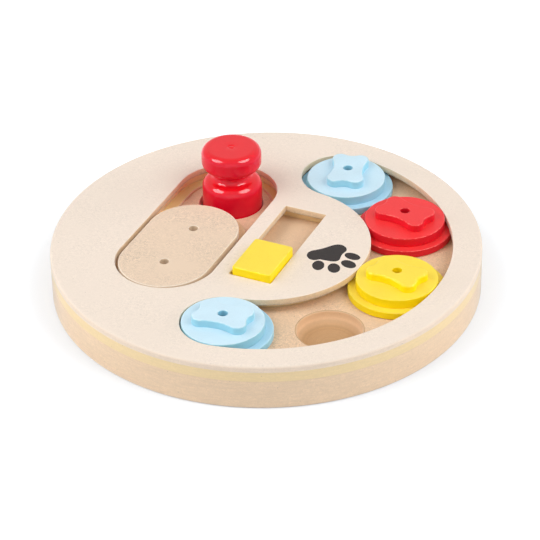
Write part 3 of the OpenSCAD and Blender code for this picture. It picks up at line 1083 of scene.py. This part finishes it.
def make_room():
    """A white room. What shines in it also mirrors the two soft boxes."""
    bpy.context.scene.world = bpy.data.worlds.new("white_room")
    n = Nodes("white_room", bpy.context.scene.world)
    mirrored = 1.0
    edge = [math.cos(math.radians(BOX_REACH + blur)) for blur in (BOX_BLUR, -BOX_BLUR)]
    for direction in SOFT_BOXES.values():
        inputs = {0: n.at.outputs["Generated"], 1: towards(direction)}
        facing = n.node("ShaderNodeVectorMath", inputs, operation="DOT_PRODUCT").outputs["Value"]
        mirrored = n.math("ADD", n.ramp(facing, *edge, 0.0, BOX_GLINT), mirrored)
    path = n.node("ShaderNodeLightPath").outputs
    in_gloss = n.math("MULTIPLY", mirrored, path["Is Glossy Ray"])
    elsewhere = n.math("MAXIMUM", path["Is Camera Ray"], path["Is Transmission Ray"])
    strength = n.math("MAXIMUM", n.math("MAXIMUM", in_gloss, elsewhere), WORLD_LIGHT)
    room = n.node("ShaderNodeBackground", {"Color": (1, 1, 1, 1), "Strength": strength})
    n.tree.links.new(room.outputs[0], n.output.inputs["Surface"])


def make_floor():
    """A floor that shows white, and keeps the object's shadow."""
    n = Nodes("white_floor")
    path = n.node("ShaderNodeLightPath").outputs
    seen = n.math("MAXIMUM", path["Is Camera Ray"], path["Is Glossy Ray"])
    seen = n.math("MAXIMUM", seen, path["Is Transmission Ray"])
    inputs = {0: n.at.outputs["Object"]}
    reach = n.node("ShaderNodeVectorMath", inputs, operation="LENGTH").outputs["Value"]
    level = n.ramp(reach, *FLOOR_GLOW_RISE, FLOOR_GLOW, FLOOR_GLOW_FAR)
    inputs = {"Color": (1, 1, 1, 1), "Strength": n.math("MULTIPLY", seen, level)}
    glow = n.node("ShaderNodeEmission", inputs)
    diffuse = n.node("ShaderNodeBsdfDiffuse", {"Color": FLOOR_COLOUR})
    both = n.node("ShaderNodeAddShader", {0: diffuse.outputs[0], 1: glow.outputs[0]})
    n.tree.links.new(both.outputs[0], n.output.inputs["Surface"])
    bm = bmesh.new()
    bmesh.ops.create_grid(bm, x_segments=4, y_segments=4, size=FLOOR_HALF)
    mesh = bpy.data.meshes.new("floor")
    bm.to_mesh(mesh)
    bm.free()
    mesh.materials.append(n.owner)
    floor = bpy.data.objects.new("floor", mesh)
    bpy.context.scene.collection.objects.link(floor)


def make_pieces():
    """The materials, and then the pieces that wear them."""
    base = fibreboard(
        "board_base",
        BASE_FACE,
        BASE_EDGE,
        PALE_WEAR,
        speckle=0.16,
        mottle=0.035,
        streaks=0.05,
        cups=True,
    )
    spacer = fibreboard(
        "board_spacer",
        SPACER_EDGE,
        SPACER_EDGE,
        SPACER_EDGE,
        speckle=0.03,
        mottle=0.02,
        streaks=0.03,
        flecks=0.3,
    )
    top = fibreboard(
        "board_top",
        TOP_FACE,
        TOP_EDGE,
        PALE_WEAR,
        speckle=0.055,
        mottle=0.012,
        streaks=0.045,
        flecks=0.4,
        routed=TOP_CUT,
    )
    lid = fibreboard(
        "lid_face", LID_FACE, LID_EDGE, PALE_WEAR, speckle=0.15, mottle=0.015, streaks=0.05
    )
    runner = fibreboard(
        "runner", RUNNER, RUNNER, RUNNER, speckle=0.05, mottle=0.03, streaks=0.05
    )
    red = paint("red_satin", RED, RUBBED_RED, rub=0.7, roughness=0.4)
    red_gloss = paint("red_gloss", PEG_RED, PEG_RED[0], rub=0.0, roughness=0.35, coat=0.6)
    yellow = paint("yellow_satin", YELLOW, RUBBED_YELLOW, rub=0.25)
    blue = paint("blue_satin", BLUE, RUBBED_BLUE)
    # the blue flanges' paint is a copy with painted shade
    blue_shaded_flange = paint("blue_satin_shaded_flange", BLUE_SHADED_FLANGE, RUBBED_BLUE_SHADED_FLANGE)
    make_base(base)
    make_spacer(spacer)
    make_top(top)
    make_lid(lid, runner)
    make_slider(yellow, runner)
    make_peg(red_gloss)
    make_disc("back", blue, blue_shaded_flange)
    make_disc("red", red, red)
    make_disc("yellow", yellow, yellow)
    make_disc("front", blue, blue_shaded_flange)
    make_paw(ink("paw_ink"))


def main():
    make_pieces()
    make_floor()
    make_light()
    make_room()
    make_camera()
    bpy.context.scene.view_settings.view_transform = "Standard"


main()
